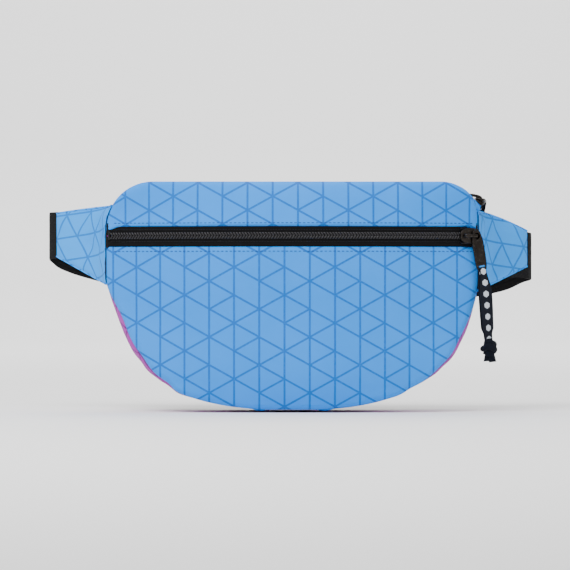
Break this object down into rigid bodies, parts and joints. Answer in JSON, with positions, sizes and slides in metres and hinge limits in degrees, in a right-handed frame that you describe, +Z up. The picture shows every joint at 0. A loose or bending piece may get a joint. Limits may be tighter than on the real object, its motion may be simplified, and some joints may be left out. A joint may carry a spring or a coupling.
{
  "type": "zipped waist pack",
  "caption": "Light blue waist pack with a curved front zip pocket, a top zip, fabric wings and a black webbing belt closed by a side-release buckle.",
  "frame": {"origin": "middle of the flat back face that rests against the wearer, 95 mm above the lowest point of the bag", "axes": "+X along the width, to the right as seen from the front; +Y towards the wearer, so the front faces -Y; +Z up"},
  "size_m": [0.3945, 0.1151, 0.1807],
  "materials": {
    "blue_print": "woven polyester, matte, light blue with a darker triangle lattice",
    "pink_print": "woven polyester, matte, pink-purple",
    "back_mesh": "black spacer mesh",
    "lining": "thin dark lining",
    "foam": "closed-cell foam",
    "zip_tape": "black woven tape",
    "zip_coil": "black nylon coil",
    "gunmetal": "gunmetal, satin",
    "navy_ribbon": "woven navy ribbon",
    "webbing": "black ribbed webbing",
    "buckle_plastic": "black moulded acetal"
  },
  "bodies": {
    "root": {"back_lining": "lining", "back_panel": "back_mesh", "bottom_gusset": "pink_print", "buckle_female": "buckle_plastic", "front_lower_panel": "blue_print", "front_pocket_lining": "lining", "front_seam_binding": "lining", "front_upper_panel": "blue_print", "front_zip_chain": "zip_coil", "front_zip_stop_left": "zip_tape", "front_zip_stop_right": "zip_tape", "front_zip_tape_lower": "zip_tape", "front_zip_tape_upper": "zip_tape", "left_belt": "webbing", "left_wing_back": "back_mesh", "left_wing_foam": "foam", "left_wing_front": "blue_print", "main_zip_chain": "zip_coil", "main_zip_stop_left": "zip_tape", "main_zip_stop_right": "zip_tape", "main_zip_tape_front": "zip_tape", "main_zip_tape_rear": "zip_tape", "rear_seam_binding": "lining", "right_belt": "webbing", "right_wing_back": "back_mesh", "right_wing_foam": "foam", "right_wing_front": "blue_print", "top_gusset_front": "blue_print", "top_gusset_rear": "blue_print"},
    "front_slider_body": {"front_slider": "gunmetal"},
    "front_tab_body": {"front_pull_tab": "gunmetal"},
    "front_lanyard": {"front_ribbon": "navy_ribbon", "front_knot": "navy_ribbon"},
    "main_slider_body": {"main_slider": "gunmetal"},
    "main_tab_body": {"main_pull_tab": "gunmetal"},
    "main_lanyard": {"main_ribbon": "navy_ribbon", "main_knot": "navy_ribbon"},
    "buckle_male_half": {"buckle_male": "buckle_plastic", "right_belt_end": "webbing"},
    "upper_prong": {"buckle_prong_upper": "buckle_plastic"},
    "lower_prong": {"buckle_prong_lower": "buckle_plastic"}
  },
  "joints": [
    {"name": "front_slider_travel", "type": "hinge", "parent": "root", "child": "front_slider_body", "pos_m": [0, 0.319, 0.043], "axis": [0, 0, 1], "range_deg": [-42.2, 0]},
    {"name": "front_pull_swing", "type": "hinge", "parent": "front_slider_body", "child": "front_tab_body", "pos_m": [0.14424, -0.0423, 0.043], "axis": [0.36, -0.933, 0], "range_deg": [-20, 25]},
    {"name": "front_ribbon_lift", "type": "hinge", "parent": "front_tab_body", "child": "front_lanyard", "pos_m": [0.15066, -0.04561, 0.01577], "axis": [-0.9188, -0.3545, -0.1736], "range_deg": [0, 30]},
    {"name": "main_slider_travel", "type": "hinge", "parent": "root", "child": "main_slider_body", "pos_m": [0, -0.026, -0.619], "axis": [0, 1, 0], "range_deg": [-23, 0]},
    {"name": "main_pull_swing", "type": "hinge", "parent": "main_slider_body", "child": "main_tab_body", "pos_m": [0.14916, -0.026, 0.06699], "axis": [0.2062, 0, 0.9785], "range_deg": [0, 5]},
    {"name": "main_ribbon_lift", "type": "hinge", "parent": "main_tab_body", "child": "main_lanyard", "pos_m": [0.15216, 0.00158, 0.07187], "axis": [0.9761, -0.0698, -0.2057], "range_deg": [0, 6]},
    {"name": "buckle_release", "type": "slide", "parent": "root", "child": "buckle_male_half", "axis": [1, 0, 0], "range_m": [0, 0.03]},
    {"name": "upper_prong_squeeze", "type": "hinge", "parent": "buckle_male_half", "child": "upper_prong", "pos_m": [0.01, 0.032, 0.023], "axis": [0, -1, 0], "range_deg": [0, 8], "stiffness_Nm_per_rad": 0.3},
    {"name": "lower_prong_squeeze", "type": "hinge", "parent": "buckle_male_half", "child": "lower_prong", "pos_m": [0.01, 0.032, -0.005], "axis": [0, 1, 0], "range_deg": [0, 8], "stiffness_Nm_per_rad": 0.3}
  ]
}
